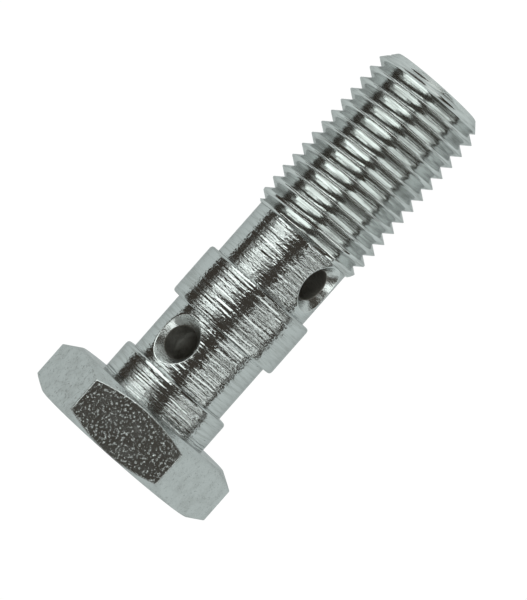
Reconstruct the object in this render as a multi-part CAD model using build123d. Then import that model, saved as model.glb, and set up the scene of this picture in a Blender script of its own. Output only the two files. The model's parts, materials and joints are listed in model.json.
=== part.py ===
from build123d import *
from math import cos, radians, sin, tan
import os

# A double banjo bolt, turned in one piece from hexagon bar.
# It lies along +X with the tip at +X and one flat of the hexagon down (-Z).
# The origin is the centre of the face that bears on the washer, under the head.
# All sizes are in millimetres and all angles in degrees.

# Shank: its lengths follow one another from the bearing face to the tip.
# Shoulder, collar and thread share one diameter, so that the hose eyes slide over all three.
# The thread is three eighths of an inch by 24 turns to the inch; here it is the blank it is cut on.
LAND_DIAMETER = 9.31
LAND_EDGE_ROUND = 0.3
NECK_DEPTH = 0.61
SHOULDER_LENGTH = 2.6
LOWER_NECK_LENGTH = 4.82
COLLAR_LENGTH = 4.29
UPPER_NECK_LENGTH = 4.64
THREAD_LENGTH = 14.65
THREAD_START_CHAMFER = 0.4
TIP_CHAMFER_LENGTH = 1.17
TIP_CHAMFER_ANGLE = 40.0

# Head. The rims of its outer face and of its bearing face stand inside the flats by their insets.
HEX_ACROSS_FLATS = 13.97
HEX_CORNER_ROUND = 0.15
HEAD_HEIGHT = 4.25
HEAD_CHAMFER_ANGLE = 31.0
OUTER_RIM_INSET = 0.05
BEARING_RIM_INSET = 0.27

# Fluid passage: one blind bore from the tip, crossed by a hole through each neck.
# A hole's turn is the angle of its axis from +Z, right-handed about +X.
BORE_DIAMETER = 4.0
BORE_PAST_LOWER_HOLE = 0.5
BORE_MOUTH_CHAMFER = 0.4
DRILL_POINT_ANGLE = 118.0
CROSS_HOLE_DIAMETER = 2.55
COUNTERSINK_DIAMETER = 3.95
COUNTERSINK_ANGLE = 82.0
COUNTERSINK_TO_THREAD = 0.05
LOWER_HOLE_TURN = -28.0
TURN_BETWEEN_HOLES = 86.0

# Places along the axis that the lengths above give.
LOWER_NECK_START = SHOULDER_LENGTH
COLLAR_START = LOWER_NECK_START + LOWER_NECK_LENGTH
UPPER_NECK_START = COLLAR_START + COLLAR_LENGTH
THREAD_START = UPPER_NECK_START + UPPER_NECK_LENGTH
SHANK_LENGTH = THREAD_START + THREAD_LENGTH

# Radii and hole places that follow from them.
# The lower hole is halfway along its neck, and the upper one stands close to the thread.
LAND_RADIUS = LAND_DIAMETER / 2
NECK_RADIUS = LAND_RADIUS - NECK_DEPTH
LOWER_HOLE_PLACE = LOWER_NECK_START + LOWER_NECK_LENGTH / 2
UPPER_HOLE_PLACE = THREAD_START - COUNTERSINK_TO_THREAD - COUNTERSINK_DIAMETER / 2
BORE_FLOOR = LOWER_HOLE_PLACE - CROSS_HOLE_DIAMETER / 2 - BORE_PAST_LOWER_HOLE


def turned_shank():
    """Shoulder, lower neck, collar, upper neck and thread blank: half an outline, turned about X."""
    tip_face = LAND_RADIUS - TIP_CHAMFER_LENGTH * tan(radians(TIP_CHAMFER_ANGLE))
    with BuildPart() as shank:
        with BuildSketch() as outline:
            with BuildLine():
                Polyline(
                    (0, 0),
                    (0, LAND_RADIUS),
                    (LOWER_NECK_START, LAND_RADIUS),
                    (LOWER_NECK_START, NECK_RADIUS),
                    (COLLAR_START, NECK_RADIUS),
                    (COLLAR_START, LAND_RADIUS),
                    (UPPER_NECK_START, LAND_RADIUS),
                    (UPPER_NECK_START, NECK_RADIUS),
                    (THREAD_START, NECK_RADIUS),
                    (THREAD_START, LAND_RADIUS - THREAD_START_CHAMFER),
                    (THREAD_START + THREAD_START_CHAMFER, LAND_RADIUS),
                    (SHANK_LENGTH - TIP_CHAMFER_LENGTH, LAND_RADIUS),
                    (SHANK_LENGTH, tip_face),
                    (SHANK_LENGTH, 0),
                    close=True,
                )
            make_face()
            land_corners = outline.vertices().group_by(Axis.Y)[-1].sort_by(Axis.X)
            fillet(land_corners[1:4], LAND_EDGE_ROUND)
        revolve(axis=Axis.X)
    return shank.part


def hexagon_head():
    """Hexagon prism whose corners are turned off by a cone at each end."""
    corner = HEX_ACROSS_FLATS / 2 / cos(radians(30))
    slope = tan(radians(HEAD_CHAMFER_ANGLE))
    rim = HEX_ACROSS_FLATS / 2 - OUTER_RIM_INSET
    seat = HEX_ACROSS_FLATS / 2 - BEARING_RIM_INSET
    with BuildPart() as head:
        with BuildSketch(Plane.YZ.offset(-HEAD_HEIGHT)):
            hexagon = RegularPolygon(HEX_ACROSS_FLATS / 2, 6, major_radius=False)
            fillet(hexagon.vertices(), HEX_CORNER_ROUND)
        extrude(amount=HEAD_HEIGHT)
        with BuildSketch():
            with BuildLine():
                Polyline(
                    (-HEAD_HEIGHT, 0),
                    (-HEAD_HEIGHT, rim),
                    (-HEAD_HEIGHT + (corner - rim) * slope, corner),
                    ((seat - corner) * slope, corner),
                    (0, seat),
                    (0, 0),
                    close=True,
                )
            make_face()
        revolve(axis=Axis.X, mode=Mode.INTERSECT)
    return head.part


def blind_bore():
    """The drilled bore, as a solid to cut away: drill point, straight wall and mouth chamfer."""
    wall = BORE_DIAMETER / 2
    mouth = wall + BORE_MOUTH_CHAMFER
    point = BORE_FLOOR - wall / tan(radians(DRILL_POINT_ANGLE / 2))
    with BuildPart() as bore:
        with BuildSketch():
            with BuildLine():
                Polyline(
                    (point, 0),
                    (BORE_FLOOR, wall),
                    (SHANK_LENGTH - BORE_MOUTH_CHAMFER, wall),
                    (SHANK_LENGTH, mouth),
                    (SHANK_LENGTH + BORE_MOUTH_CHAMFER, mouth),
                    (SHANK_LENGTH + BORE_MOUTH_CHAMFER, 0),
                    close=True,
                )
            make_face()
        revolve(axis=Axis.X)
    return bore.part


def hole_mouths(place, turn):
    """Planes on the neck's skin, facing out, at both ends of one cross hole."""
    mouths = []
    for side in (turn, turn + 180):
        outward = Vector(0, -sin(radians(side)), cos(radians(side)))
        centre = Vector(place, 0, 0) + outward * NECK_RADIUS
        mouths.append(Plane(origin=centre, x_dir=(1, 0, 0), z_dir=outward))
    return mouths


def banjo_bolt():
    """The finished bolt: head and shank joined, then the bore and the countersunk cross holes cut."""
    mouths = hole_mouths(LOWER_HOLE_PLACE, LOWER_HOLE_TURN)
    mouths += hole_mouths(UPPER_HOLE_PLACE, LOWER_HOLE_TURN + TURN_BETWEEN_HOLES)
    with BuildPart() as bolt:
        add(turned_shank())
        add(hexagon_head())
        add(blind_bore(), mode=Mode.SUBTRACT)
        with Locations(*mouths):
            CounterSinkHole(
                CROSS_HOLE_DIAMETER / 2,
                COUNTERSINK_DIAMETER / 2,
                depth=NECK_RADIUS,
                counter_sink_angle=COUNTERSINK_ANGLE,
            )
    return bolt.part


os.makedirs("parts", exist_ok=True)
export_step(banjo_bolt(), "parts/banjo_bolt.step")
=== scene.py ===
"""The looks of a double banjo bolt: one closed skin with its thread, its finishes, the floor and the light.

Lengths are in millimetres and angles in degrees until they reach Blender. The bolt lies along +X with its
tip at +X. A place is a distance along the axis from the bearing face. A turn about the axis is counted from
+Z, right-handed about +X.
"""

import json
import logging
import math
from abc import ABC, abstractmethod
from collections.abc import Iterable, Sequence
from dataclasses import dataclass
from enum import Enum
from typing import Any

import bpy
import numpy as np
from mathutils import Matrix, Vector

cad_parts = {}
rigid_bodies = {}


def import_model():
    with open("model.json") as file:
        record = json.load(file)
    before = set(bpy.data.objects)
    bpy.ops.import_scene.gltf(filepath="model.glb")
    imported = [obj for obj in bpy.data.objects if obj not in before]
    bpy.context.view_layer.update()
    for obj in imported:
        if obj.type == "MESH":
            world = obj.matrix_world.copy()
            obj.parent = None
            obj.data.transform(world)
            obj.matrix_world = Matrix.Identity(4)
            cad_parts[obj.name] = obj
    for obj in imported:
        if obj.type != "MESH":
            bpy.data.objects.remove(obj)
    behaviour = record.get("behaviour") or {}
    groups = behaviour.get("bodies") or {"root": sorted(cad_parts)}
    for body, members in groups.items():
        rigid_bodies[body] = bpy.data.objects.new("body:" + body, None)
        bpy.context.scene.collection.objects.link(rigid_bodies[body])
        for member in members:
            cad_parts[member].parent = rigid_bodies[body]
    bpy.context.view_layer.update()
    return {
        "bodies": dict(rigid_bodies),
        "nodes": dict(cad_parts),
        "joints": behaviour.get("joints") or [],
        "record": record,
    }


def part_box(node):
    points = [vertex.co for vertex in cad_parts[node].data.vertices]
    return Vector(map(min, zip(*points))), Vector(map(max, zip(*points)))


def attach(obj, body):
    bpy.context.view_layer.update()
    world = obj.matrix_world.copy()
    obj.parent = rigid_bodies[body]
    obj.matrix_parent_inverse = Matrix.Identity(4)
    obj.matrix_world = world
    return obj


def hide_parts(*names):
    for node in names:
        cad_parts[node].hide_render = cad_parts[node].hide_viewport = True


LOG = logging.getLogger("banjo_bolt")
MM = 0.001
MICROMETRE = 1e-6

# Points in a plain ring, and the angle between two faces up to which their edge is shaded smooth.
ROUND = 192
SMOOTH_BELOW = 38.0

# Sockets of the Mix node that take and give colours, by number because their names are shared.
MIX_FIRST, MIX_SECOND, MIX_RESULT = 6, 7, 2

Colour = tuple[float, float, float]
Measure = np.ndarray | float
WHITE: Colour = (1.0, 1.0, 1.0)


class Zone(Enum):
    """The differently finished surfaces of the bolt, in the order of their material slots."""

    HEX = 0
    LAND = 1
    LOWER_NECK = 2
    UPPER_NECK = 3
    THREAD = 4
    MOUTH = 5
    BORE = 6


def around(place: Measure, radius: Measure, turn: Measure) -> np.ndarray:
    """Sets points round the bolt's axis.

    Args:
        place: Their places along the axis.
        radius: Their distances from the axis.
        turn: Their turns about the axis, in radians.

    Returns:
        An array of points, one row each.
    """
    place, radius, turn = np.broadcast_arrays(place, radius, turn)
    return np.stack([place, -radius * np.sin(turn), radius * np.cos(turn)], axis=-1)


def even_turns() -> np.ndarray:
    """Returns the turns of a plain ring's points, in radians."""
    return np.arange(ROUND) * (2 * math.pi / ROUND)


def bend(start: np.ndarray, corner: np.ndarray, end: np.ndarray, shares: Iterable[float]) -> list[np.ndarray]:
    """Rounds a corner between a point on each of its legs.

    Args:
        start: Where the rounding starts.
        corner: The corner.
        end: Where the rounding ends.
        shares: How far round the curve each point lies, from 0 to 1.

    Returns:
        The curve's points, one array for each share.
    """
    return [(1 - t) ** 2 * start + 2 * t * (1 - t) * corner + t**2 * end for t in shares]


def toward(corner: np.ndarray, target: np.ndarray, distance: float) -> np.ndarray:
    """Goes from a section's corner along one of its legs.

    Args:
        corner: The corner's points, one row for each turn.
        target: The points at the leg's far end.
        distance: How far to go; it is held short of the leg's middle.

    Returns:
        The points reached.
    """
    longest_share = 0.45
    leg = target - corner
    length = np.linalg.norm(leg, axis=-1, keepdims=True)
    return corner + leg / length * np.minimum(distance, length * longest_share)


def eased_corner(before: np.ndarray, corner: np.ndarray, after: np.ndarray, width: float) -> list[np.ndarray]:
    """Rounds one corner of a section, with a supporting point on each leg.

    Args:
        before: The section's points before the corner, one row for each turn.
        corner: The corner's points.
        after: The points after the corner.
        width: How far along each leg the rounding reaches.

    Returns:
        The section's points from one leg to the other.
    """
    points = 5
    support = 1.7 * width
    start = toward(corner, before, width)
    end = toward(corner, after, width)
    rounding = bend(start, corner, end, np.linspace(0.0, 1.0, points))
    return [toward(corner, before, support), *rounding, toward(corner, after, support)]


class SkinBuilder:
    """Collects the points and faces of one closed skin, loop after loop.

    A loop is an array of point numbers. Faces between two loops look outwards when the second loop lies to
    the left of the first one's direction.
    """

    def __init__(self) -> None:
        """Starts without points and faces."""
        self._points: list[np.ndarray] = []
        self._count = 0
        self._faces: list[tuple[int, ...]] = []
        self._zones: list[int] = []

    def add(self, points: np.ndarray) -> np.ndarray:
        """Adds points.

        Args:
            points: The points, one row each.

        Returns:
            Their numbers.
        """
        points = np.atleast_2d(points)
        self._points.append(points)
        first = self._count
        self._count += len(points)
        return np.arange(first, self._count)

    def face(self, corners: Sequence[int], zone: Zone) -> None:
        """Adds one face with its corners in order, in the zone given."""
        self._faces.append(tuple(int(corner) for corner in corners))
        self._zones.append(zone.value)

    def bridge(self, first: np.ndarray, second: np.ndarray, zone: Zone) -> None:
        """Joins two closed loops of equal length with faces of the zone given."""
        for a, b, c, d in zip(first, np.roll(first, -1), np.roll(second, -1), second):
            self.face((a, b, c, d), zone)

    def open_cap(self, centre: int, loop: np.ndarray, zone: Zone) -> None:
        """Joins a centre point to the loop that follows it."""
        for a, b in zip(loop, np.roll(loop, -1)):
            self.face((centre, b, a), zone)

    def close_cap(self, loop: np.ndarray, centre: int, zone: Zone) -> None:
        """Joins a loop to the centre point that follows it."""
        for a, b in zip(loop, np.roll(loop, -1)):
            self.face((a, b, centre), zone)

    def zip_loops(self, first: np.ndarray, first_turns: np.ndarray, second: np.ndarray, zone: Zone) -> None:
        """Joins two loops of different length by their turns.

        Args:
            first: The first loop.
            first_turns: Its turns, rising from 0.
            second: The second loop, a plain ring.
            zone: The faces' zone.
        """
        turns = np.append(first_turns, 2 * math.pi)
        ring_turns = np.append(even_turns(), 2 * math.pi)
        i = j = 0
        while i < len(first) or j < len(second):
            a = first[i % len(first)]
            b = second[j % len(second)]
            if j == len(second) or (i < len(first) and turns[i + 1] <= ring_turns[j + 1]):
                self.face((a, first[(i + 1) % len(first)], b), zone)
                i += 1
            else:
                self.face((a, second[(j + 1) % len(second)], b), zone)
                j += 1

    def build(self, name: str, materials: Iterable[bpy.types.Material]) -> bpy.types.Object:
        """Makes the object.

        Args:
            name: The object's name.
            materials: One material for each zone.

        Returns:
            The new object, with smooth shading and sharp edges where two faces meet steeply.
        """
        mesh = bpy.data.meshes.new(name)
        points = np.concatenate(self._points) * MM
        mesh.from_pydata(points.tolist(), [], self._faces)
        for material in materials:
            mesh.materials.append(material)
        mesh.polygons.foreach_set("material_index", self._zones)
        mesh.shade_smooth()
        mesh.set_sharp_from_angle(angle=math.radians(SMOOTH_BELOW))
        mesh.validate()
        piece = bpy.data.objects.new(name, mesh)
        bpy.context.scene.collection.objects.link(piece)
        return piece


@dataclass(frozen=True)
class Section:
    """A stretch of the skin between two loops, given by the corners of its section.

    Attributes:
        corners: The corners as (place, radius), from the loop before to the loop after.
        rounds: How far each inner corner is rounded, 0 for a sharp one.
        zone: The zone of its faces.
    """

    corners: Sequence[tuple[Measure, Measure]]
    rounds: Sequence[float]
    zone: Zone

    def outline(self, count: int) -> list[np.ndarray]:
        """Works out the section's points after its first one.

        Args:
            count: The number of turns.

        Returns:
            One array for each point, with a row of (place, radius) for each turn.
        """
        spread = [
            np.stack(np.broadcast_arrays(place, radius, np.empty(count))[:2], axis=-1)
            for place, radius in self.corners
        ]
        points: list[np.ndarray] = []
        for index, width in enumerate(self.rounds, start=1):
            if width > 0:
                points += eased_corner(spread[index - 1], spread[index], spread[index + 1], width)
            else:
                points.append(spread[index])
        points.append(spread[-1])
        return points

    def build(self, skin: SkinBuilder, loop: np.ndarray, turns: np.ndarray) -> np.ndarray:
        """Adds the stretch.

        Args:
            skin: The skin.
            loop: The loop before the stretch.
            turns: The turns of the loop's points.

        Returns:
            The stretch's last loop.
        """
        for point in self.outline(len(turns)):
            following = skin.add(around(point[:, 0], point[:, 1], turns))
            skin.bridge(loop, following, self.zone)
            loop = following
        return loop


@dataclass
class HexagonHead:
    """Hexagon head, its corners turned off by a flat cone at each end.

    Attributes:
        height: From the outer face to the bearing face.
        across_flats: Spanner size.
        land_radius: Radius of the shoulder that grows out of the bearing face.
        face_inset: How far the outer face's rim stands inside the flats.
        seat_inset: How far the bearing face's rim stands inside the flats.
        cone: Angle between each cone and the face beside it.
        corner_round: Radius of the six upright corners.
        edge_round: How far the other edges are rounded.
        corner_points: Where more points stand round a corner, as shares of its rounding's reach.
        sides: Number of flats.
    """

    height: float
    across_flats: float
    land_radius: float
    face_inset: float = 0.05
    seat_inset: float = 0.27
    cone: float = 31.0
    corner_round: float = 0.15
    edge_round: float = 0.07
    corner_points: tuple[float, ...] = (-1.6, -1.0, -0.66, -0.33, 0.33, 0.66, 1.0, 1.6)
    sides: int = 6

    @property
    def face_radius(self) -> float:
        """Returns the radius of the outer face's rim."""
        return self.across_flats / 2 - self.face_inset

    @property
    def seat_radius(self) -> float:
        """Returns the radius of the bearing face's rim."""
        return self.across_flats / 2 - self.seat_inset

    @property
    def half_side(self) -> float:
        """Returns half the turn from one flat to the next, in radians."""
        return math.pi / self.sides

    def turns(self) -> np.ndarray:
        """Works out the head's turns: the plain ring's, and more of them round the corners.

        Returns:
            The turns in radians, rising from 0.
        """
        reach = self._round_reach()
        corners = [(2 * number + 1) * self.half_side for number in range(self.sides)]
        extra = [corner + share * reach for corner in corners for share in self.corner_points]
        return np.sort(np.concatenate([even_turns(), extra]))

    def _corner_centre(self) -> float:
        """Returns how far the centre of a corner's rounding is from the axis."""
        return (self.across_flats / 2 - self.corner_round) / math.cos(self.half_side)

    def _round_reach(self) -> float:
        """Returns how far a corner's rounding reaches to each side, as a turn in radians."""
        along = self._corner_centre() + self.corner_round * math.cos(self.half_side)
        return math.atan2(self.corner_round * math.sin(self.half_side), along)

    def reach(self, turns: np.ndarray) -> np.ndarray:
        """Works out the hexagon's radius.

        Args:
            turns: The turns at which it is wanted.

        Returns:
            The radius at each turn.
        """
        side = 2 * self.half_side
        from_flat = (turns + self.half_side) % side - self.half_side
        flat = self.across_flats / 2 / np.cos(from_flat)
        from_corner = turns % side - self.half_side
        centre = self._corner_centre()
        inside = np.maximum(self.corner_round**2 - (centre * np.sin(from_corner)) ** 2, 0.0)
        rounded = centre * np.cos(from_corner) + np.sqrt(inside)
        return np.where(np.abs(from_corner) <= self._round_reach(), rounded, flat)

    def build(self, skin: SkinBuilder) -> np.ndarray:
        """Adds the head.

        Args:
            skin: The skin.

        Returns:
            The ring at the foot of the shoulder.
        """
        turns = self.turns()
        reach = self.reach(turns)
        slope = math.tan(math.radians(self.cone))
        top = -self.height
        face, seat = self.face_radius, self.seat_radius
        face_middle = face / 2
        seat_inside = self.land_radius * 1.15
        centre = skin.add(around(top, 0.0, np.zeros(1)))[0]
        inner = skin.add(around(top, face_middle, turns))
        skin.open_cap(centre, inner, Zone.HEX)
        section = Section(
            corners=(
                (top, face_middle),
                (top, face),
                (top + (reach - face) * slope, reach),
                ((seat - reach) * slope, reach),
                (0.0, seat),
                (0.0, seat_inside),
            ),
            rounds=(self.edge_round,) * 4,
            zone=Zone.HEX,
        )
        last = section.build(skin, inner, turns)
        foot = skin.add(around(0.0, self.land_radius, even_turns()))
        skin.zip_loops(last, turns, foot, Zone.HEX)
        return foot


@dataclass
class CrossHole:
    """One end of a cross hole: countersunk mouth, straight wall and its breakthrough into the bore.

    Attributes:
        place: Where the hole's axis crosses the bolt's axis.
        turn: The turn of the mouth.
        skin_radius: Radius of the neck.
        bore_radius: Radius of the bore.
        drill_radius: Radius of the hole.
        mouth_radius: Radius of the countersink at the neck's skin.
        cone: Full angle of the countersink.
        rim_round: How far the mouth's rim is rounded.
        foot_round: How far the countersink's foot is rounded.
    """

    place: float
    turn: float
    skin_radius: float
    bore_radius: float
    drill_radius: float = 1.275
    mouth_radius: float = 1.975
    cone: float = 82.0
    rim_round: float = 0.045
    foot_round: float = 0.04

    @property
    def flare(self) -> float:
        """Returns how much the countersink widens for each millimetre of height."""
        return math.tan(math.radians(self.cone / 2))

    def point(self, angle: np.ndarray, radius: np.ndarray, height: np.ndarray) -> np.ndarray:
        """Sets points round the hole's axis.

        Args:
            angle: Their angles about the hole's axis, in radians.
            radius: Their distances from the hole's axis.
            height: Their heights along it, from the bolt's axis.

        Returns:
            An array of points, one row each.
        """
        across = radius * np.cos(angle)
        along = radius * np.sin(angle)
        turn = math.radians(self.turn)
        out = np.array([0.0, -math.sin(turn), math.cos(turn)])
        side = np.array([0.0, -math.cos(turn), -math.sin(turn)])
        axis = np.array([1.0, 0.0, 0.0])
        centre = np.array([self.place, 0.0, 0.0])
        return centre + np.outer(along, axis) + np.outer(across, side) + np.outer(height, out)

    def on_cylinder(self, angle: np.ndarray, radius: np.ndarray, cylinder: float) -> np.ndarray:
        """Returns the height at which a cylinder about the bolt's axis lies, seen along the hole."""
        return np.sqrt(cylinder**2 - (radius * np.cos(angle)) ** 2)

    def mouth(self, angle: np.ndarray) -> np.ndarray:
        """Finds where the countersink meets the curved neck.

        Args:
            angle: Angles about the hole's axis, in radians.

        Returns:
            The mouth's radius at each angle.
        """
        rounds = 40
        radius = np.full_like(angle, self.mouth_radius)
        for _ in range(rounds):
            sunk = self.skin_radius - self.on_cylinder(angle, radius, self.skin_radius)
            radius = 0.5 * radius + 0.5 * (self.mouth_radius - sunk * self.flare)
        return radius

    def cone_height(self, radius: np.ndarray) -> np.ndarray:
        """Returns the countersink's height at a radius."""
        return self.skin_radius - (self.mouth_radius - radius) / self.flare

    def outer_rim(self, angle: np.ndarray) -> tuple[np.ndarray, np.ndarray]:
        """Finds the loop on the neck at which the rim's rounding starts.

        Args:
            angle: Angles about the hole's axis, in radians.

        Returns:
            The places and the turns of its points.
        """
        radius = self.mouth(angle) + self.rim_round
        place = self.place + radius * np.sin(angle)
        turn = math.radians(self.turn) + np.arcsin(radius * np.cos(angle) / self.skin_radius)
        return place, turn

    def build(self, skin: SkinBuilder, loop: np.ndarray, angle: np.ndarray) -> np.ndarray:
        """Adds the hole from its mouth's outer rim down to the bore.

        Args:
            skin: The skin.
            loop: The loop of the outer rim.
            angle: The angles of its points about the hole's axis, in radians.

        Returns:
            The hole's last loop, on the bore's wall.
        """
        rim_shares = (0.25, 0.5, 0.75, 1.0)
        cone_shares = (0.3, 0.65, 1.0)
        foot_shares = (0.33, 0.67, 1.0)
        wall_shares = (0.15, 0.5, 0.85, 1.0)
        mouth = self.mouth(angle)
        wide = mouth + self.rim_round
        narrow = mouth - self.rim_round
        outer = self.point(angle, wide, self.on_cylinder(angle, wide, self.skin_radius))
        corner = self.point(angle, mouth, self.on_cylinder(angle, mouth, self.skin_radius))
        inner = self.point(angle, narrow, self.cone_height(narrow))
        rows = bend(outer, corner, inner, rim_shares)
        drill = np.full_like(angle, self.drill_radius)
        above = drill + self.foot_round
        for share in cone_shares:
            radius = narrow + (above - narrow) * share
            rows.append(self.point(angle, radius, self.cone_height(radius)))
        countersunk = len(rows)
        lip = self.point(angle, drill, self.cone_height(drill))
        below = self.point(angle, drill, self.cone_height(drill) - self.foot_round)
        rows += bend(rows[-1], lip, below, foot_shares)
        bottom = self.point(angle, drill, self.on_cylinder(angle, drill, self.bore_radius))
        rows += [below + (bottom - below) * share for share in wall_shares]
        for index, row in enumerate(rows):
            following = skin.add(row)
            skin.bridge(loop, following, Zone.MOUTH if index < countersunk else Zone.BORE)
            loop = following
        return loop


@dataclass
class CrossedTube:
    """A stretch of cylinder that both ends of one cross hole go through.

    The stretch is two halves, each a rectangle round one end of the hole, that meet along two seams.

    Attributes:
        holes: Both ends of the hole.
        radius: Radius of the cylinder.
        rows: Loops between the rectangle and the hole.
        zone: The zone of its faces.
        seam_steps: Faces along a seam.
    """

    holes: tuple[CrossHole, CrossHole]
    radius: float
    rows: int
    zone: Zone
    seam_steps: int = 20

    @property
    def count(self) -> int:
        """Returns the number of points in a loop round a hole."""
        return ROUND + 2 * self.seam_steps

    def angles(self) -> np.ndarray:
        """Returns the angles about the hole's axis that belong to the rectangle's points."""
        return -math.pi / 2 + 2 * math.pi * (np.arange(self.count) - ROUND / 4) / self.count

    def rectangles(
        self, skin: SkinBuilder, first: np.ndarray, second: np.ndarray, places: tuple[float, float]
    ) -> list[tuple[np.ndarray, np.ndarray, np.ndarray]]:
        """Adds the seams and finds each half's rectangle.

        Args:
            skin: The skin.
            first: The ring where the stretch starts.
            second: The ring where it ends.
            places: The places of both rings.

        Returns:
            For each half the loop of its rectangle, and the places and turns of its points.
        """
        step = 2 * math.pi / ROUND
        half = ROUND // 2
        between = self.seam_steps - 1
        starts = [round((math.radians(hole.turn) - math.pi / 2) / step) for hole in self.holes]
        shares = np.arange(1, self.seam_steps) / self.seam_steps
        seam_places = places[0] + (places[1] - places[0]) * shares
        seams = [skin.add(around(seam_places, self.radius, start * step)) for start in starts]
        start_places = np.full(half + 1, places[0])
        end_places = np.full(half + 1, places[1])
        found = []
        for index, start in enumerate(starts):
            near = seams[index]
            far = seams[1 - index]
            ring = (start + np.arange(half + 1)) % ROUND
            turns = (start + np.arange(half + 1)) * step
            loop = np.concatenate([first[ring], far, second[ring][::-1], near[::-1]])
            loop_places = np.concatenate([start_places, seam_places, end_places, seam_places[::-1]])
            far_turns = np.full(between, turns[-1])
            near_turns = np.full(between, turns[0])
            loop_turns = np.concatenate([turns, far_turns, turns[::-1], near_turns])
            found.append((loop, loop_places, loop_turns))
        return found

    def patch(
        self,
        skin: SkinBuilder,
        rectangle: tuple[np.ndarray, np.ndarray, np.ndarray],
        rim: tuple[np.ndarray, np.ndarray],
        rim_loop: np.ndarray | None,
    ) -> np.ndarray:
        """Fills the cylinder between a rectangle and a hole's rim.

        Args:
            skin: The skin.
            rectangle: The rectangle's loop, places and turns.
            rim: The rim's places and turns.
            rim_loop: The rim's loop, or None if it is still to be made.

        Returns:
            The rim's loop.
        """
        loop, places, turns = rectangle
        for row in range(1, self.rows + 1):
            share = row / self.rows
            if row == self.rows and rim_loop is not None:
                following = rim_loop
            else:
                place = places + (rim[0] - places) * share
                turn = turns + (rim[1] - turns) * share
                following = skin.add(around(place, self.radius, turn))
            skin.bridge(loop, following, self.zone)
            loop = following
        return loop


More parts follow.
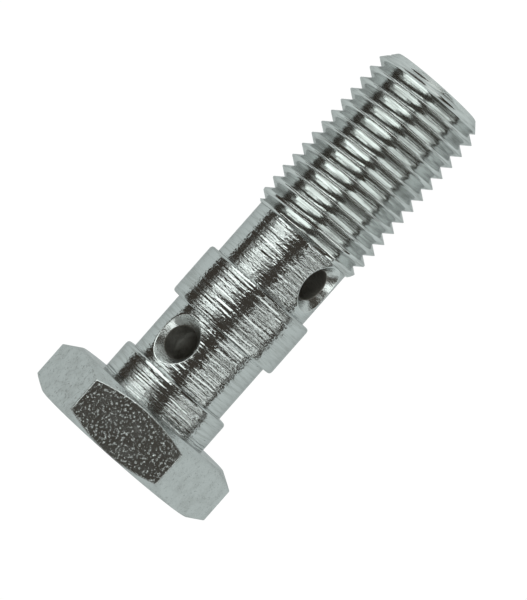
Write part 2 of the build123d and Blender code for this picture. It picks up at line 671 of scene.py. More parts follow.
@dataclass
class Thread:
    """Right-hand thread that runs out into the neck at one end and through the tip's cone at the other.

    Attributes:
        start: Place of the first turn.
        end: Place on the tip's cone, past the last groove.
        radius: Radius of the crests.
        root_radius: Radius of the grooves' floor.
        cone_start: Place at which the tip's cone starts.
        cone: Angle between the tip's cone and the axis.
        pitch: Distance from one turn to the next.
        crest_width: Width of the crests.
        crest_place: Place of one crest at turn 0.
        crest_round: How much a crest's edges are eased.
        root_round: How much the grooves' floor is eased.
        flank: How steeply the flanks fall, as depth for each millimetre along the axis.
        widest_crest: Share of half a pitch that a crest may reach to each side where the blank is low.
        clear: Least distance of a row from the thread's start and end.
        crest_row: Place of the row beside a crest's middle, as a share of the way to its lip.
        row_gaps: How far one row lies past the lip, and how far the row at the floor's start and the last
            row lie from the groove's middle, each with the share of the room past the lip that it may take.
        start_radii: Radius of the first turns' crests, by their distance from the start.
    """

    start: float
    end: float
    radius: float
    root_radius: float
    cone_start: float
    cone: float
    pitch: float = 25.4 / 24
    crest_width: float = 0.05
    crest_place: float = 29.18
    crest_round: float = 0.03
    root_round: float = 0.06
    flank: float = 1.34
    widest_crest: float = 0.82
    clear: float = 0.02
    crest_row: float = 0.45
    row_gaps: tuple[tuple[float, float], ...] = ((0.04, 0.2), (0.1, 0.4), (0.035, 0.15))
    start_radii: tuple[tuple[float, float], ...] = (
        (0.0, 4.05),
        (0.03, 4.2),
        (0.12, 4.26),
        (0.35, 4.42),
        (0.7, 4.53),
        (0.95, 4.56),
        (1.45, 4.6),
        (2.1, 4.64),
        (2.6, 4.655),
    )

    def envelope(self, place: np.ndarray) -> np.ndarray:
        """Works out the blank that the thread is cut from.

        Args:
            place: Places along the axis.

        Returns:
            The blank's radius at each place.
        """
        grown = np.interp(place - self.start, *zip(*self.start_radii))
        coned = self.radius - (place - self.cone_start) * math.tan(math.radians(self.cone))
        return np.minimum(np.minimum(grown, self.radius), coned)

    def lip(self, crest: np.ndarray, side: int) -> np.ndarray:
        """Finds how far from its middle a crest ends, where its flank meets the blank.

        Args:
            crest: Places of the crests' middles.
            side: -1 for the flank towards the head, 1 for the one towards the tip.

        Returns:
            The distance for each crest.
        """
        rounds = 30
        widest = self.pitch / 2 * self.widest_crest
        found = np.full_like(crest, self.crest_width / 2)
        for _ in range(rounds):
            drop = self.radius - self.envelope(crest + side * found)
            wanted = self.crest_width / 2 + drop / self.flank
            found = 0.5 * found + 0.5 * np.clip(wanted, 0.0, widest)
        return found

    def offsets(self, crest: np.ndarray) -> np.ndarray:
        """Works out the rows of one turn, from the middle of a groove to just before the next one's.

        Args:
            crest: Places of the crests' middles.

        Returns:
            The rows' distances from their crest, one row of the array for each row of the turn.
        """
        half = self.pitch / 2
        sides = []
        for side in (-1, 1):
            lip = self.lip(crest, side)
            gaps = [np.minimum(distance, share * (half - lip)) for distance, share in self.row_gaps]
            past_lip = lip + gaps[0]
            floor = half - gaps[1]
            flank = 0.5 * (past_lip + floor)
            sides.append([lip * self.crest_row, lip, past_lip, flank, floor, half - gaps[2]])
        headward = [-distance for distance in reversed(sides[0])]
        return np.stack([np.full_like(crest, -half), *headward, *sides[1]])

    def surface(self, place: np.ndarray, crest: np.ndarray) -> np.ndarray:
        """Works out the thread's radius.

        Args:
            place: Places along the axis.
            crest: The place of the nearest crest's middle, for each of them.

        Returns:
            The radius at each place.
        """
        flank = self.radius + (self.crest_width / 2 - np.abs(place - crest)) * self.flank
        gap = np.maximum(self.root_round - np.abs(flank - self.root_radius), 0.0)
        groove = np.maximum(flank, self.root_radius) + gap**2 / (4 * self.root_round)
        blank = self.envelope(place)
        gap = np.maximum(self.crest_round - np.abs(groove - blank), 0.0)
        return np.minimum(groove, blank) - gap**2 / (4 * self.crest_round)

    def build(self, skin: SkinBuilder, loop: np.ndarray) -> np.ndarray:
        """Adds the thread, as one column of rows for each turn of a plain ring.

        Args:
            skin: The skin.
            loop: The neck's last ring.

        Returns:
            The ring on the tip's cone.
        """
        spare = 2
        turns = even_turns()
        lowest = math.floor((self.start - self.crest_place) / self.pitch) - spare
        highest = math.ceil((self.end - self.crest_place) / self.pitch) + spare
        numbers = np.arange(lowest, highest)
        columns: list[dict[int, int]] = []
        for turn in turns:
            crests = self.crest_place + self.pitch * (turn / (2 * math.pi) + numbers)
            places = crests + self.offsets(crests)
            radii = self.surface(places, np.broadcast_to(crests, places.shape))
            per_turn = len(places)
            places = places.T.ravel()
            radii = radii.T.ravel()
            inside = (places > self.start + self.clear) & (places < self.end - self.clear)
            kept = np.nonzero(inside)[0]
            found = skin.add(around(places[kept], radii[kept], turn))
            columns.append(dict(zip((kept + lowest * per_turn).tolist(), found.tolist())))
        last = skin.add(around(self.end, self.envelope(np.array([self.end])), turns))
        columns.append({row - per_turn: point for row, point in columns[0].items()})
        for index in range(ROUND):
            ends = [index, (index + 1) % ROUND]
            self._strip(skin, columns[index], columns[index + 1], loop[ends], last[ends])
        return last

    def _strip(
        self, skin: SkinBuilder, near: dict[int, int], far: dict[int, int], start: np.ndarray, end: np.ndarray
    ) -> None:
        """Joins two neighbouring columns of rows and closes both ends of the strip between them.

        Args:
            skin: The skin.
            near: The first column's points, by their rows.
            far: The second column's points, by their rows.
            start: Both columns' points on the ring before the thread.
            end: Both columns' points on the ring after it.
        """
        low = max(min(near), min(far))
        high = min(max(near), max(far))
        for row in range(low, high):
            skin.face((near[row], far[row], far[row + 1], near[row + 1]), Zone.THREAD)
        bottom_far = [far[row] for row in range(min(far), low + 1)]
        bottom_near = [near[row] for row in range(low, min(near) - 1, -1)]
        top_near = [near[row] for row in range(max(near), high - 1, -1)]
        top_far = [far[row] for row in range(high, max(far) + 1)]
        self._fan(skin, [start[0], start[1], *bottom_far, *bottom_near], len(bottom_near) > 1)
        self._fan(skin, [end[1], end[0], *top_near, *top_far], len(top_far) > 1)

    def _fan(self, skin: SkinBuilder, polygon: list[int], from_second: bool) -> None:
        """Fills a small polygon, with triangles unless it has four corners.

        Args:
            skin: The skin.
            polygon: Its corners.
            from_second: Whether the triangles spread from the second corner and not from the first.
        """
        if len(polygon) == 4:
            skin.face(polygon, Zone.THREAD)
            return
        if from_second:
            polygon = polygon[1:] + polygon[:1]
        for a, b in zip(polygon[1:], polygon[2:]):
            skin.face((polygon[0], a, b), Zone.THREAD)


def mount(frame: dict[str, Any], name: str) -> dict[str, Any]:
    """Returns the record's mount of that name."""
    return next(m for m in frame["record"]["mounts"] if m["name"] == name)


def pin_ends(pin: dict[str, Any]) -> tuple[float, float]:
    """Works out where a mount of kind pin starts and ends.

    Args:
        pin: The mount.

    Returns:
        The places of its two ends.
    """
    middle = pin["pos_m"][0] / MM
    half = pin["dims"]["length_mm"] / 2
    return middle - half, middle + half


@dataclass
class BanjoBolt:
    """The whole bolt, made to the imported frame.

    Attributes:
        head: The hexagon head.
        land_radius: Radius of shoulder, collar and thread.
        shoulder_end: Place of the shoulder's far face.
        collar: Places of the collar's two faces.
        thread_start: Place of the first turn.
        tip_cone: Place at which the tip's cone starts.
        tip: Place of the tip.
        neck_depth: How much lower than the land both necks are.
        land_round: How far the edges of shoulder and collar are rounded.
        thread_chamfer: Length of the chamfer at the thread's start.
        groove_depth: How much lower than the necks the thread's grooves are.
        past_groove: How far past the last groove the thread's skin ends on the tip's cone.
        tip_cone_angle: Angle between the tip's cone and the axis.
        tip_round: How far the tip's outer edge is rounded.
        bore_edge_round: How far the edge between the tip's face and the bore's mouth is rounded.
        bore_radius: Radius of the bore.
        bore_chamfer: Width of the chamfer at the bore's mouth.
        bore_margin: How far past a cross hole the rings in the bore lie.
        drill_point: Full angle of the bore's drill point.
        past_lower_hole: How far the bore goes on past the lower cross hole.
        mouth_to_thread: From the upper countersink to the thread.
        lower_turn: The lower cross hole's turn.
        turn_between: The turn from the lower cross hole to the upper one.
        neck_rows: Loops of faces between a neck's rings and its hole.
        bore_rows: Loops of faces between the bore's rings and a hole.
    """

    head: HexagonHead
    land_radius: float
    shoulder_end: float
    collar: tuple[float, float]
    thread_start: float
    tip_cone: float
    tip: float
    neck_depth: float = 0.61
    land_round: float = 0.3
    thread_chamfer: float = 0.4
    groove_depth: float = 0.07
    past_groove: float = 0.05
    tip_cone_angle: float = 40.0
    tip_round: float = 0.12
    bore_edge_round: float = 0.072
    bore_radius: float = 2.0
    bore_chamfer: float = 0.4
    bore_margin: float = 0.35
    drill_point: float = 118.0
    past_lower_hole: float = 0.5
    mouth_to_thread: float = 0.05
    lower_turn: float = -28.0
    turn_between: float = 86.0
    neck_rows: int = 18
    bore_rows: int = 4

    @classmethod
    def from_frame(cls, frame: dict[str, Any]) -> "BanjoBolt":
        """Reads the bolt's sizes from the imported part's box and mounts.

        Args:
            frame: What the frame's load call returns.

        Returns:
            The bolt.
        """
        low, high = (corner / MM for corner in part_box("banjo_bolt"))
        shoulder = mount(frame, "shoulder")
        collar = pin_ends(mount(frame, "middle_collar"))
        thread = pin_ends(mount(frame, "threaded_end"))
        land = shoulder["dims"]["r_mm"]
        edge = cls.land_round
        return cls(
            head=HexagonHead(height=-low.x, across_flats=high.z - low.z, land_radius=land),
            land_radius=land,
            shoulder_end=pin_ends(shoulder)[1] + edge,
            collar=(collar[0] - edge, collar[1] + edge),
            thread_start=thread[0] - cls.thread_chamfer,
            tip_cone=thread[1],
            tip=high.x,
        )

    @property
    def neck_radius(self) -> float:
        """Returns the radius of both necks."""
        return self.land_radius - self.neck_depth

    @property
    def tip_slope(self) -> float:
        """Returns how much the tip's cone narrows for each millimetre along the axis."""
        return math.tan(math.radians(self.tip_cone_angle))

    @property
    def resting_line(self) -> float:
        """Returns the place at which the head's lowest flat ends, towards the bearing face."""
        return (self.head.seat_radius - self.head.across_flats / 2) * math.tan(math.radians(self.head.cone))

    def resting_slope(self) -> float:
        """Returns the angle at which the floor rises from the head's lowest flat to the thread's end."""
        drop = self.head.across_flats / 2 - self.land_radius
        return math.degrees(math.atan2(drop, self.tip_cone - self.resting_line))

    def _hole(self, place: float, turn: float) -> tuple[CrossHole, CrossHole]:
        """Returns both ends of a cross hole."""
        sizes = (self.neck_radius, self.bore_radius)
        return CrossHole(place, turn, *sizes), CrossHole(place, turn + 180, *sizes)

    def holes(self) -> tuple[tuple[CrossHole, CrossHole], tuple[CrossHole, CrossHole]]:
        """Works out the cross holes: the lower one halfway along its neck, the upper one by the thread.

        Returns:
            Both ends of the lower and of the upper cross hole.
        """
        lower = (self.shoulder_end + self.collar[0]) / 2
        upper = self.thread_start - self.mouth_to_thread - CrossHole.mouth_radius
        return self._hole(lower, self.lower_turn), self._hole(upper, self.lower_turn + self.turn_between)

    def _shoulder(self, skin: SkinBuilder, loop: np.ndarray) -> np.ndarray:
        """Adds the shoulder.

        Args:
            skin: The skin.
            loop: The ring at the shoulder's foot.

        Returns:
            The ring at the lower neck's foot.
        """
        support = 0.3
        land, end = self.land_radius, self.shoulder_end
        corners = ((0.0, land), (support, land), (end, land), (end, self.neck_radius))
        return Section(corners, (0.0, self.land_round), Zone.LAND).build(skin, loop, even_turns())

    def _collar(self, skin: SkinBuilder, loop: np.ndarray) -> np.ndarray:
        """Adds the collar.

        Args:
            skin: The skin.
            loop: The ring at the lower neck's end.

        Returns:
            The ring at the upper neck's foot.
        """
        start, end = self.collar
        land, neck = self.land_radius, self.neck_radius
        corners = ((start, neck), (start, land), (end, land), (end, neck))
        return Section(corners, (self.land_round,) * 2, Zone.LAND).build(skin, loop, even_turns())

    def _neck(
        self,
        skin: SkinBuilder,
        loop: np.ndarray,
        places: tuple[float, float],
        holes: tuple[CrossHole, CrossHole],
        zone: Zone,
    ) -> tuple[np.ndarray, list[np.ndarray]]:
        """Adds a neck with both ends of its cross hole.

        Args:
            skin: The skin.
            loop: The ring at the neck's foot.
            places: Where the neck starts and ends.
            holes: Both ends of its hole.
            zone: The zone of its faces.

        Returns:
            The ring at the neck's far end, and the hole's two loops in the bore.
        """
        tube = CrossedTube(holes, self.neck_radius, self.neck_rows, zone)
        ring = skin.add(around(places[1], self.neck_radius, even_turns()))
        broken = []
        for hole, rectangle in zip(holes, tube.rectangles(skin, loop, ring, places)):
            rim = tube.patch(skin, rectangle, hole.outer_rim(tube.angles()), None)
            broken.append(hole.build(skin, rim, tube.angles()))
        return ring, broken

    def _threaded_end(self, skin: SkinBuilder, loop: np.ndarray) -> np.ndarray:
        """Adds the thread, the rest of the tip's cone, the tip's face and the bore's mouth.

        Args:
            skin: The skin.
            loop: The ring at the upper neck's end.

        Returns:
            The bore's first ring.
        """
        land, bore, slope = self.land_radius, self.bore_radius, self.tip_slope
        root = self.neck_radius - self.groove_depth
        thread = Thread(
            start=self.thread_start,
            end=self.tip_cone + (land - root) / slope + self.past_groove,
            radius=land,
            root_radius=root,
            cone_start=self.tip_cone,
            cone=self.tip_cone_angle,
        )
        loop = thread.build(skin, loop)
        corners = (
            (thread.end, land - (thread.end - self.tip_cone) * slope),
            (self.tip, land - (self.tip - self.tip_cone) * slope),
            (self.tip, bore + self.bore_chamfer),
            (self.tip - self.bore_chamfer, bore),
        )
        tip = Section(corners, (self.tip_round, self.bore_edge_round), Zone.MOUTH)
        return tip.build(skin, loop, even_turns())

    def _bore_stretch(
        self,
        skin: SkinBuilder,
        loop: np.ndarray,
        holes: tuple[CrossHole, CrossHole],
        broken: list[np.ndarray],
    ) -> np.ndarray:
        """Adds the bore's wall past one cross hole, going inwards.

        Args:
            skin: The skin.
            loop: The ring before the stretch.
            holes: Both ends of the hole.
            broken: The hole's two loops in the bore.

        Returns:
            The stretch's last ring.
        """
        margin = holes[0].drill_radius + self.bore_margin
        places = (holes[0].place + margin, holes[0].place - margin)
        first = skin.add(around(places[0], self.bore_radius, even_turns()))
        skin.bridge(loop, first, Zone.BORE)
        last = skin.add(around(places[1], self.bore_radius, even_turns()))
        tube = CrossedTube(holes, self.bore_radius, self.bore_rows, Zone.BORE)
        mirrored = (tube.count // 2 + ROUND // 2 - np.arange(tube.count)) % tube.count
        angle = tube.angles()[mirrored]
        rectangles = tube.rectangles(skin, first, last, places)
        for hole, rectangle, rim_loop in zip(holes, rectangles, broken):
            across = hole.drill_radius * np.cos(angle)
            place = hole.place + hole.drill_radius * np.sin(angle)
            turn = math.radians(hole.turn) + np.arcsin(across / self.bore_radius)
            tube.patch(skin, rectangle, (place, turn), rim_loop[mirrored])
        return last

    def _bore_floor(self, skin: SkinBuilder, loop: np.ndarray, lower: CrossHole) -> None:
        """Adds the bore's last stretch of wall and its drill point.

        Args:
            skin: The skin.
            loop: The bore's last ring.
            lower: One end of the lower cross hole.
        """
        bore = self.bore_radius
        floor = lower.place - lower.drill_radius - self.past_lower_hole
        point = floor - bore / math.tan(math.radians(self.drill_point / 2))
        ring = skin.add(around(floor, bore, even_turns()))
        skin.bridge(loop, ring, Zone.BORE)
        middle = skin.add(around((floor + point) / 2, bore / 2, even_turns()))
        skin.bridge(ring, middle, Zone.BORE)
        skin.close_cap(middle, skin.add(around(point, 0.0, np.zeros(1)))[0], Zone.BORE)

    def build(self, materials: Iterable[bpy.types.Material]) -> bpy.types.Object:
        """Makes the bolt as one closed piece.

        Args:
            materials: One material for each zone.

        Returns:
            The bolt's object.
        """
        skin = SkinBuilder()
        lower, upper = self.holes()
        lower_neck = (self.shoulder_end, self.collar[0])
        upper_neck = (self.collar[1], self.thread_start)
        loop = self.head.build(skin)
        loop = self._shoulder(skin, loop)
        loop, lower_broken = self._neck(skin, loop, lower_neck, lower, Zone.LOWER_NECK)
        loop = self._collar(skin, loop)
        loop, upper_broken = self._neck(skin, loop, upper_neck, upper, Zone.UPPER_NECK)
        loop = self._threaded_end(skin, loop)
        loop = self._bore_stretch(skin, loop, upper, upper_broken)
        loop = self._bore_stretch(skin, loop, lower, lower_broken)
        self._bore_floor(skin, loop, lower[0])
        return skin.build("banjo_bolt_skin", materials)


class Wire:
    """An output socket that takes part in arithmetic; every operator adds one Math node."""

    def __init__(self, graph: "Graph", socket: bpy.types.NodeSocket) -> None:
        """Wraps an output socket of the graph's node tree."""
        self.graph = graph
        self.socket = socket

    def _math(self, operation: str, *values: "Wire | float") -> "Wire":
        """Adds a Math node and returns its output."""
        node = self.graph.node("ShaderNodeMath", {"operation": operation}, dict(enumerate(values)))
        return Wire(self.graph, node.outputs[0])

    def __add__(self, other: "Wire | float") -> "Wire":
        """Returns the sum."""
        return self._math("ADD", self, other)

    def __radd__(self, other: float) -> "Wire":
        """Returns the sum with a number on the left."""
        return self._math("ADD", other, self)

    def __sub__(self, other: "Wire | float") -> "Wire":
        """Returns the difference."""
        return self._math("SUBTRACT", self, other)

    def __rsub__(self, other: float) -> "Wire":
        """Returns what is left of a number."""
        return self._math("SUBTRACT", other, self)

    def __mul__(self, other: "Wire | float") -> "Wire":
        """Returns the product."""
        return self._math("MULTIPLY", self, other)

    def __rmul__(self, other: float) -> "Wire":
        """Returns the product with a number on the left."""
        return self._math("MULTIPLY", other, self)

    def sine(self) -> "Wire":
        """Returns the sine of an angle in radians."""
        return self._math("SINE", self)

    def clamp(self, low: float = 0.0, high: float = 1.0) -> "Wire":
        """Returns the value held between two limits."""
        return self._math("MINIMUM", self._math("MAXIMUM", self, low), high)


class Graph:
    """Adds nodes to one material's or the world's node tree."""

    def __init__(self, tree: bpy.types.NodeTree) -> None:
        """Empties the tree."""
        self.tree = tree
        tree.nodes.clear()

    def node(
        self, kind: str, settings: dict[str, Any] | None = None, inputs: dict[int | str, Any] | None = None
    ) -> bpy.types.Node:
        """Adds one node.

        Args:
            kind: The node's type.
            settings: The node's own settings, such as a Math node's operation.
            inputs: Values or links, by the socket's name or number.

        Returns:
            The node.
        """
        node = self.tree.nodes.new(kind)
        for name, value in (settings or {}).items():
            setattr(node, name, value)
        for name, value in (inputs or {}).items():
            if isinstance(value, Wire):
                self.tree.links.new(value.socket, node.inputs[name])
            elif isinstance(value, bpy.types.NodeSocket):
                self.tree.links.new(value, node.inputs[name])
            else:
                node.inputs[name].default_value = value
        return node

    def place(self, stretch: tuple[float, float, float]) -> bpy.types.NodeSocket:
        """Finds the object's coordinates.

        Args:
            stretch: How much they are stretched along each axis.

        Returns:
            The stretched coordinates in millimetres.
        """
        coordinates = self.node("ShaderNodeTexCoord").outputs["Object"]
        scale = tuple(value / MM for value in stretch)
        scaled = self.node("ShaderNodeVectorMath", {"operation": "MULTIPLY"}, {0: coordinates, 1: scale})
        return scaled.outputs[0]

    def axes(self) -> tuple[Wire, Wire, Wire]:
        """Returns the object's three coordinates in millimetres."""
        split = self.node("ShaderNodeSeparateXYZ", inputs={"Vector": self.place((1.0, 1.0, 1.0))})
        return Wire(self, split.outputs[0]), Wire(self, split.outputs[1]), Wire(self, split.outputs[2])

    def turn(self, y: Wire, z: Wire) -> Wire:
        """Returns the turn about the bolt's axis, in radians from -pi to pi."""
        node = self.node("ShaderNodeMath", {"operation": "ARCTAN2"}, {0: y * -1.0, 1: z})
        return Wire(self, node.outputs[0])

    def _noise(self, vector: bpy.types.NodeSocket, detail: float, rough: float) -> Wire:
        """Returns noise at a vector, centred on 0.5, with one grain for each unit."""
        inputs = {"Vector": vector, "Scale": 1.0, "Detail": detail, "Roughness": rough}
        return Wire(self, self.node("ShaderNodeTexNoise", {"noise_dimensions": "3D"}, inputs).outputs["Fac"])

    def noise(self, grain: tuple[float, float, float], detail: float = 2.0, rough: float = 0.5) -> Wire:
        """Returns noise, by its grains in a millimetre along each axis."""
        return self._noise(self.place(grain), detail, rough)

    def noise_at(self, place: tuple[Wire | float, ...], detail: float = 2.0, rough: float = 0.5) -> Wire:
        """Returns noise at a place given by three values."""
        joined = self.node("ShaderNodeCombineXYZ", inputs=dict(enumerate(place)))
        return self._noise(joined.outputs[0], detail, rough)

    def mix_colour(self, factor: Wire, first: Colour, second: Colour) -> bpy.types.NodeSocket:
        """Returns a colour between two colours."""
        colours = {"Factor": factor, MIX_FIRST: (*first, 1.0), MIX_SECOND: (*second, 1.0)}
        return self.node("ShaderNodeMix", {"data_type": "RGBA"}, colours).outputs[MIX_RESULT]


@dataclass(frozen=True)
class PlatedSteel(ABC):
    """Bright plating over machined steel: the part that all finishes share.

    Attributes:
        name: The material's name.
        colour: Colour of the plating.
        stain: Colour of the duller patches.
        edge_tint: How much of the usual brightening towards grazing light is left.
        roughness: Roughness of the clean plating.
        spread: How much rougher the duller patches are.
        patch_grain: Duller patches in a millimetre, along each axis.
        patch_detail: Finer octaves in the patches' noise.
        dull_from: Level of that noise at which the plating starts to be dull.
        dull_gain: How fast it gets dull above that level.
    """

    name: str
    colour: Colour = (0.66, 0.68, 0.675)
    stain: Colour = (0.56, 0.575, 0.565)
    edge_tint: float = 0.7
    roughness: float = 0.13
    spread: float = 0.1
    patch_grain: tuple[float, float, float] = (0.9, 0.9, 0.9)
    patch_detail: float = 4.0
    dull_from: float = 0.42
    dull_gain: float = 3.0

    @abstractmethod
    def height(self, graph: Graph) -> Wire:
        """Returns the surface's relief in micrometres."""

    def patches(self, graph: Graph) -> Wire:
        """Returns the noise of the duller patches."""
        return graph.noise(self.patch_grain, detail=self.patch_detail, rough=0.6)

    def dulling(self, graph: Graph) -> Wire:
        """Returns how dull the surface is, from 0 to 1."""
        return ((self.patches(graph) - self.dull_from) * self.dull_gain).clamp()

    def material(self) -> bpy.types.Material:
        """Makes the material.

        Returns:
            The material, named after the finish.
        """
        material = bpy.data.materials.new(self.name)
        material.use_nodes = True
        graph = Graph(material.node_tree)
        dull = self.dulling(graph)
        relief = {"Strength": 1.0, "Distance": MICROMETRE, "Height": self.height(graph)}
        bump = graph.node("ShaderNodeBump", inputs=relief)
        shader = graph.node(
            "ShaderNodeBsdfPrincipled",
            inputs={
                "Base Color": graph.mix_colour(dull, self.colour, self.stain),
                "Metallic": 1.0,
                "Roughness": dull * self.spread + self.roughness,
                "Specular Tint": (self.edge_tint, self.edge_tint, self.edge_tint, 1.0),
                "Normal": bump.outputs["Normal"],
            },
        )
        graph.node("ShaderNodeOutputMaterial", inputs={"Surface": shader.outputs["BSDF"]})
        return material


@dataclass(frozen=True)
class GrainedSteel(PlatedSteel):
    """Faces of the drawn hexagon bar: a shallow grain with sharp little pits that glint.

    Attributes:
        grain: Grains in a millimetre.
        depth: Depth of the grain in micrometres.
        pits: Pits in a millimetre, where they are dense.
        pit_level: Level of the pits' noise at which a pit starts.
        pit_depth: Depth scale of the pits in micrometres.
    """

    grain: float = 4.0
    depth: float = 18.0
    pits: float = 5.0
    pit_level: float = 0.57
    pit_depth: float = 90.0

    def height(self, graph: Graph) -> Wire:
        """Works out the grain's relief, with the pits cut into it.

        Args:
            graph: The material's graph.

        Returns:
            The relief in micrometres.
        """
        coarse = graph.noise((self.grain,) * 3, detail=1.0, rough=0.6)
        pit = (graph.noise((self.pits,) * 3, detail=2.0, rough=0.6) - self.pit_level).clamp()
        return coarse * self.depth - pit * self.pit_depth


@dataclass(frozen=True)
class TurnedSteel(PlatedSteel):
    """Surfaces with the rings that a turning tool leaves.

    Attributes:
        patch_grain: Duller patches in a millimetre, along each axis: fine lines round the bolt.
        patch_detail: Finer octaves in the patches' noise.
        dull_from: Level of that noise at which the plating starts to be dull.
        dull_gain: How fast it gets dull above that level.
        rings: Whole rings in a millimetre.
        ring_change: How often in a millimetre a whole ring changes round the bolt.
        ring_depth: Depth of the whole rings in micrometres.
        dashes: Broken rings in a millimetre.
        dash_change: How often in a millimetre a broken ring changes round the bolt.
        dash_depth: Depth of the broken rings in micrometres.
        mottle: Blotches in a millimetre, along each axis, that break the rings.
        mottle_depth: Depth of the blotches in micrometres.
    """

    patch_grain: tuple[float, float, float] = (5.0, 0.4, 0.4)
    patch_detail: float = 2.0
    dull_from: float = 0.45
    dull_gain: float = 5.0
    rings: float = 3.2
    ring_change: float = 0.03
    ring_depth: float = 80.0
    dashes: float = 5.0
    dash_change: float = 0.3
    dash_depth: float = 56.0
    mottle: tuple[float, float, float] = (6.5, 3.2, 3.2)
    mottle_depth: float = 22.0

    def height(self, graph: Graph) -> Wire:
        """Works out the rings' relief.

        Args:
            graph: The material's graph.

        Returns:
            The relief in micrometres.
        """
        whole = graph.noise((self.rings, self.ring_change, self.ring_change), detail=1.0)
        broken = graph.noise((self.dashes, self.dash_change, self.dash_change), detail=1.0)
        blotches = graph.noise(self.mottle, detail=1.0, rough=0.6)
        return whole * self.ring_depth + broken * self.dash_depth + blotches * self.mottle_depth


@dataclass(frozen=True)
class CutSteel(PlatedSteel):
    """Cut surfaces of the holes and the tip, smoother than the turned ones.

    Attributes:
        marks: Cutting marks in a millimetre.
        across: Marks across the bolt for each one along it.
        depth: Depth of the cutting marks in micrometres.
    """

    marks: float = 5.0
    across: float = 0.4
    depth: float = 30.0

    def height(self, graph: Graph) -> Wire:
        """Returns the cutting marks' relief in micrometres."""
        across = self.marks * self.across
        return graph.noise((self.marks, across, across), detail=2.0, rough=0.6) * self.depth


@dataclass(frozen=True)
class ThreadSteel(PlatedSteel):
    """Flanks of the thread, with lines that follow its helix.

    Attributes:
        patch_grain: Duller patches in a millimetre of the bolt's length and in a radian round it, and the
            layer of their noise, which keeps it apart from the scratches'.
        patch_detail: Finer octaves in the patches' noise.
        dull_from: Level of that noise at which the plating starts to be dull.
        dull_gain: How fast it gets dull above that level.
        pitch: Distance from one turn to the next.
        crest: Place of one crest at turn 0.
        lines: Broad lines in one turn's width.
        line_shift: How far the first broad line lies from the crest, in radians of its wave.
        line_depth: Depth of the broad lines in micrometres.
        scratches: Scratches along the helix in a millimetre of the bolt's length.
        scratch_change: How often in a radian a scratch changes.
        scratch_depth: Depth of the scratches in micrometres.
        mottle: Blotches in a millimetre, along each axis.
        mottle_depth: Depth of the blotches in micrometres.
    """

    patch_grain: tuple[float, float, float] = (5.0, 1.5, 3.0)
    patch_detail: float = 2.0
    dull_from: float = 0.45
    dull_gain: float = 5.0
    pitch: float = Thread.pitch
    crest: float = Thread.crest_place
    lines: int = 3
    line_shift: float = 1.0
    line_depth: float = 9.0
    scratches: float = 4.5
    scratch_change: float = 1.2
    scratch_depth: float = 18.0
    mottle: tuple[float, float, float] = (5.0, 2.5, 2.5)
    mottle_depth: float = 10.0

    def along_helix(self, graph: Graph) -> tuple[Wire, Wire]:
        """Finds where a point lies beside the helix of the thread's crest.

        Args:
            graph: The material's graph.

        Returns:
            How far along the bolt it lies from the helix, and its turn in radians.
        """
        x, y, z = graph.axes()
        turn = graph.turn(y, z)
        return x - turn * (self.pitch / (2 * math.pi)) - self.crest, turn

    def patches(self, graph: Graph) -> Wire:
        """Works out the noise of the duller patches, in lines along the helix.

        Args:
            graph: The material's graph.

        Returns:
            The noise.
        """
        along, turn = self.along_helix(graph)
        lines, change, layer = self.patch_grain
        return graph.noise_at((along * lines, turn * change, layer), detail=self.patch_detail, rough=0.6)

    def height(self, graph: Graph) -> Wire:
        """Works out the relief: lines and scratches along the helix, broken by blotches.

        Args:
            graph: The material's graph.

        Returns:
            The relief in micrometres.
        """
        along, turn = self.along_helix(graph)
        wave = (along * (2 * math.pi * self.lines / self.pitch) - self.line_shift).sine()
        scratch = graph.noise_at((along * self.scratches, turn * self.scratch_change, 0.0), detail=1.0)
        blotches = graph.noise(self.mottle, detail=2.0, rough=0.6)
        return wave * self.line_depth + scratch * self.scratch_depth + blotches * self.mottle_depth


def bolt_materials() -> list[bpy.types.Material]:
    """Makes the bolt's materials.

    Returns:
        One material for each zone, in the zones' order.
    """
    finishes = {
        Zone.HEX: GrainedSteel("grained_hexagon", roughness=0.2),
        Zone.LAND: TurnedSteel("turned_land"),
        Zone.LOWER_NECK: TurnedSteel("turned_lower_neck", rings=4.0, ring_depth=46.0, dash_depth=66.0),
        Zone.UPPER_NECK: TurnedSteel(
            "turned_upper_neck", rings=4.0, ring_depth=30.0, dash_depth=58.0, mottle_depth=26.0
        ),
        Zone.THREAD: ThreadSteel("cut_thread", colour=(0.77, 0.79, 0.78), stain=(0.56, 0.57, 0.56)),
        Zone.MOUTH: CutSteel("cut_hole", colour=(0.8, 0.82, 0.81), stain=(0.66, 0.67, 0.66), roughness=0.22),
        Zone.BORE: CutSteel(
            "drilled_bore", colour=(0.45, 0.43, 0.4), stain=(0.25, 0.23, 0.2), roughness=0.55, depth=50.0
        ),
    }
    return [finishes[zone].material() for zone in Zone]


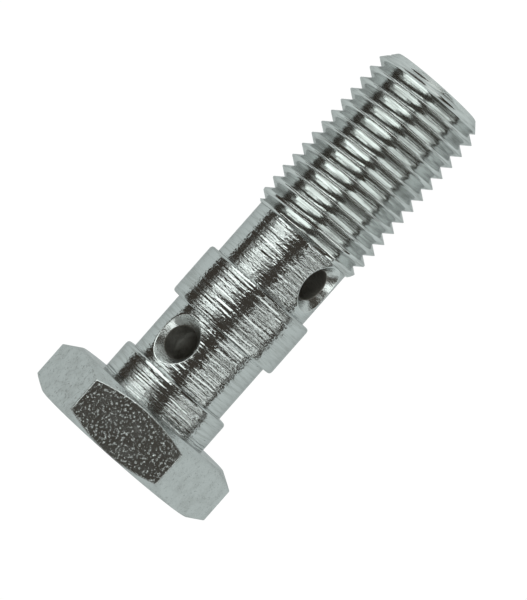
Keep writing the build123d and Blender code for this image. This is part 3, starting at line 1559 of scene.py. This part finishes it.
@dataclass(frozen=True)
class Softbox:
    """A soft rectangular light over one side of the bolt.

    Attributes:
        name: The light's name.
        lean: Its direction from straight up, positive towards the picture's right when the bolt is upright.
        across: Its width, as an angle seen from the bolt.
        along: Its length along the bolt's axis, as an angle.
        radiance: How bright it looks.
        shift: How far it stands towards the tip, as an angle.
        distance: How far away it stands.
        target: Place on the bolt's axis that it faces.
    """

    name: str
    lean: float
    across: float
    along: float
    radiance: float
    shift: float = 0.0
    distance: float = 260.0
    target: float = 12.0

    def build(self, colour: Colour) -> bpy.types.Object:
        """Adds the light.

        Args:
            colour: Its colour.

        Returns:
            The light's object.
        """
        light = bpy.data.lights.new(self.name, "AREA")
        light.shape = "RECTANGLE"
        light.size = 2 * self.distance * math.tan(math.radians(self.along / 2)) * MM
        light.size_y = 2 * self.distance * math.tan(math.radians(self.across / 2)) * MM
        light.color = colour
        light.energy = self.radiance * math.pi * light.size * light.size_y
        turn = math.radians(self.lean)
        out = Vector((math.tan(math.radians(self.shift)), -math.sin(turn), math.cos(turn))).normalized()
        side = out.cross(Vector((1, 0, 0))).normalized()
        axis = side.cross(out)
        lamp = bpy.data.objects.new(self.name, light)
        lamp.matrix_world = Matrix((axis, side, out)).transposed().to_4x4()
        lamp.location = Vector((self.target * MM, 0, 0)) + out * self.distance * MM
        bpy.context.scene.collection.objects.link(lamp)
        return lamp


SOFTBOXES = (
    Softbox("left_wide", lean=-46.0, across=60.0, along=16.0, radiance=0.4),
    Softbox("left_middle", lean=-44.0, across=32.0, along=16.0, radiance=0.95),
    Softbox("left_tipward", lean=-39.0, across=60.0, along=40.0, radiance=1.75, shift=33.0),
    Softbox("right_middle", lean=52.0, across=60.0, along=10.0, radiance=0.9, shift=-1.0),
    Softbox("right_headward", lean=46.0, across=60.0, along=34.0, radiance=1.25, shift=-31.0),
    Softbox("left_headward", lean=-39.0, across=60.0, along=8.0, radiance=2.1, shift=-44.0),
    Softbox("right_tipward", lean=46.0, across=60.0, along=5.0, radiance=1.2, shift=23.0),
    Softbox("past_tip", lean=-56.0, across=50.0, along=20.0, radiance=0.75, shift=80.0),
)


@dataclass
class Studio:
    """Floor, surroundings and soft lights.

    Attributes:
        floor_slope: How far the floor rises towards the tip, because the bolt leans on its thread.
        floor_low: The floor's height under the foremost line of the head's lowest flat.
        floor_line: Place of that line.
        floor_along: Where the white floor starts and ends along the bolt.
        floor_across: Where it starts and ends across the bolt.
        matt: The floor's own colour, which takes shadows and throws light back.
        shown: Share of the floor's glow in what is seen or mirrored of it; the rest is its own colour.
        glow: Strength of the glow.
        mirrored: Colour of the glow in the metal; to the camera it is white.
        dim: Light of the room round the floor.
        lamp_colour: Colour of the soft lights.
    """

    floor_slope: float
    floor_low: float
    floor_line: float
    floor_along: tuple[float, float] = (-120.0, 260.0)
    floor_across: tuple[float, float] = (-320.0, 52.0)
    matt: Colour = (0.8, 0.8, 0.8)
    shown: float = 0.95
    glow: float = 1.05
    mirrored: Colour = (0.6, 0.655, 0.645)
    dim: Colour = (0.05, 0.043, 0.035)
    lamp_colour: Colour = (0.93, 1.0, 0.98)

    def floor(self) -> bpy.types.Object:
        """Makes the white floor that the bolt lies on.

        Returns:
            The floor's object.
        """
        rise = math.tan(math.radians(self.floor_slope))
        low, high = self.floor_along
        near, far = self.floor_across
        corners = [(low, near), (high, near), (high, far), (low, far)]
        points = [(x * MM, y * MM, (self.floor_low + (x - self.floor_line) * rise) * MM) for x, y in corners]
        mesh = bpy.data.meshes.new("floor")
        mesh.from_pydata(points, [], [(0, 1, 2, 3)])
        mesh.materials.append(self._floor_material())
        floor = bpy.data.objects.new("floor", mesh)
        bpy.context.scene.collection.objects.link(floor)
        return floor

    def _floor_material(self) -> bpy.types.Material:
        """Makes the floor's material: white to look at, and a little darker in the metal.

        Returns:
            The material.
        """
        material = bpy.data.materials.new("floor_white")
        material.use_nodes = True
        graph = Graph(material.node_tree)
        path = graph.node("ShaderNodeLightPath").outputs
        camera, glossy, through = (
            Wire(graph, path[name]) for name in ("Is Camera Ray", "Is Glossy Ray", "Is Transmission Ray")
        )
        seen = (camera + glossy + through).clamp() * self.shown
        colour = graph.mix_colour(camera, self.mirrored, WHITE)
        matt = graph.node("ShaderNodeBsdfDiffuse", inputs={"Color": (*self.matt, 1.0)})
        white = graph.node("ShaderNodeEmission", inputs={"Color": colour, "Strength": self.glow})
        mixed = graph.node("ShaderNodeMixShader", inputs={0: seen, 1: matt.outputs[0], 2: white.outputs[0]})
        graph.node("ShaderNodeOutputMaterial", inputs={"Surface": mixed.outputs[0]})
        return material

    def surroundings(self) -> None:
        """Makes the world: a dim room for the metal to mirror, behind a white background."""
        world = bpy.data.worlds.new("room")
        world.use_nodes = True
        graph = Graph(world.node_tree)
        camera = Wire(graph, graph.node("ShaderNodeLightPath").outputs["Is Camera Ray"])
        colour = graph.mix_colour(camera, self.dim, WHITE)
        background = graph.node("ShaderNodeBackground", inputs={"Color": colour, "Strength": 1.0})
        graph.node("ShaderNodeOutputWorld", inputs={"Surface": background.outputs[0]})
        bpy.context.scene.world = world

    def build(self) -> None:
        """Makes the floor, the room and the lights."""
        self.floor()
        self.surroundings()
        for softbox in SOFTBOXES:
            softbox.build(self.lamp_colour)


@dataclass
class PhotoCamera:
    """The camera at the photograph's place.

    Attributes:
        distance: From the camera to the bolt's axis.
        scale: The photograph's pixels in a millimetre, at the axis.
        rise: Angle of the bolt's axis above the picture's horizontal.
        turn: How far the camera stands to the side.
        target: Place on the axis beside the middle of the picture.
        aside: How far the middle of the picture is from the axis.
        picture_height: The photograph's height in pixels.
        sensor: Size of the sensor along the picture's height.
        clip: Nearest and farthest distance that is seen, in camera distances.
    """

    distance: float = 296.0
    scale: float = 13.852
    rise: float = 48.6
    turn: float = 2.9
    target: float = 11.18
    aside: float = 0.75
    picture_height: int = 600
    sensor: float = 36.0
    clip: tuple[float, float] = (0.1, 20.0)

    def build(self) -> bpy.types.Object:
        """Makes the camera and makes it the scene's own.

        Returns:
            The camera's object.
        """
        turn = math.radians(self.turn)
        rise = math.radians(self.rise)
        axis = Vector((1, 0, 0))
        back = Vector((0, -math.sin(turn), math.cos(turn)))
        side = Vector((0, -math.cos(turn), -math.sin(turn)))
        right = axis * math.cos(rise) + side * math.sin(rise)
        up = axis * math.sin(rise) - side * math.cos(rise)
        data = bpy.data.cameras.new("photo_camera")
        data.sensor_width = self.sensor
        data.lens = data.sensor_width * self.distance * self.scale / self.picture_height
        data.clip_start, data.clip_end = (self.distance * share * MM for share in self.clip)
        camera = bpy.data.objects.new("photo_camera", data)
        camera.matrix_world = Matrix((right, up, back)).transposed().to_4x4()
        middle = axis * self.target + side * self.aside
        camera.location = (middle + back * self.distance) * MM
        bpy.context.scene.collection.objects.link(camera)
        bpy.context.scene.camera = camera
        return camera


def main() -> None:
    """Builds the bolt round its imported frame, then the studio and the camera."""
    logging.basicConfig(level=logging.INFO, format="%(name)s: %(message)s")
    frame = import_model()
    bpy.context.scene.view_settings.view_transform = "Standard"

    bolt = BanjoBolt.from_frame(frame)
    piece = bolt.build(bolt_materials())
    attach(piece, "root")
    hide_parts("banjo_bolt")
    LOG.info("%s: %d points, %d faces", piece.name, len(piece.data.vertices), len(piece.data.polygons))

    flat = bolt.head.across_flats / 2
    Studio(floor_slope=bolt.resting_slope(), floor_low=-flat, floor_line=bolt.resting_line).build()
    PhotoCamera().build()


if __name__ == "__main__":
    main()
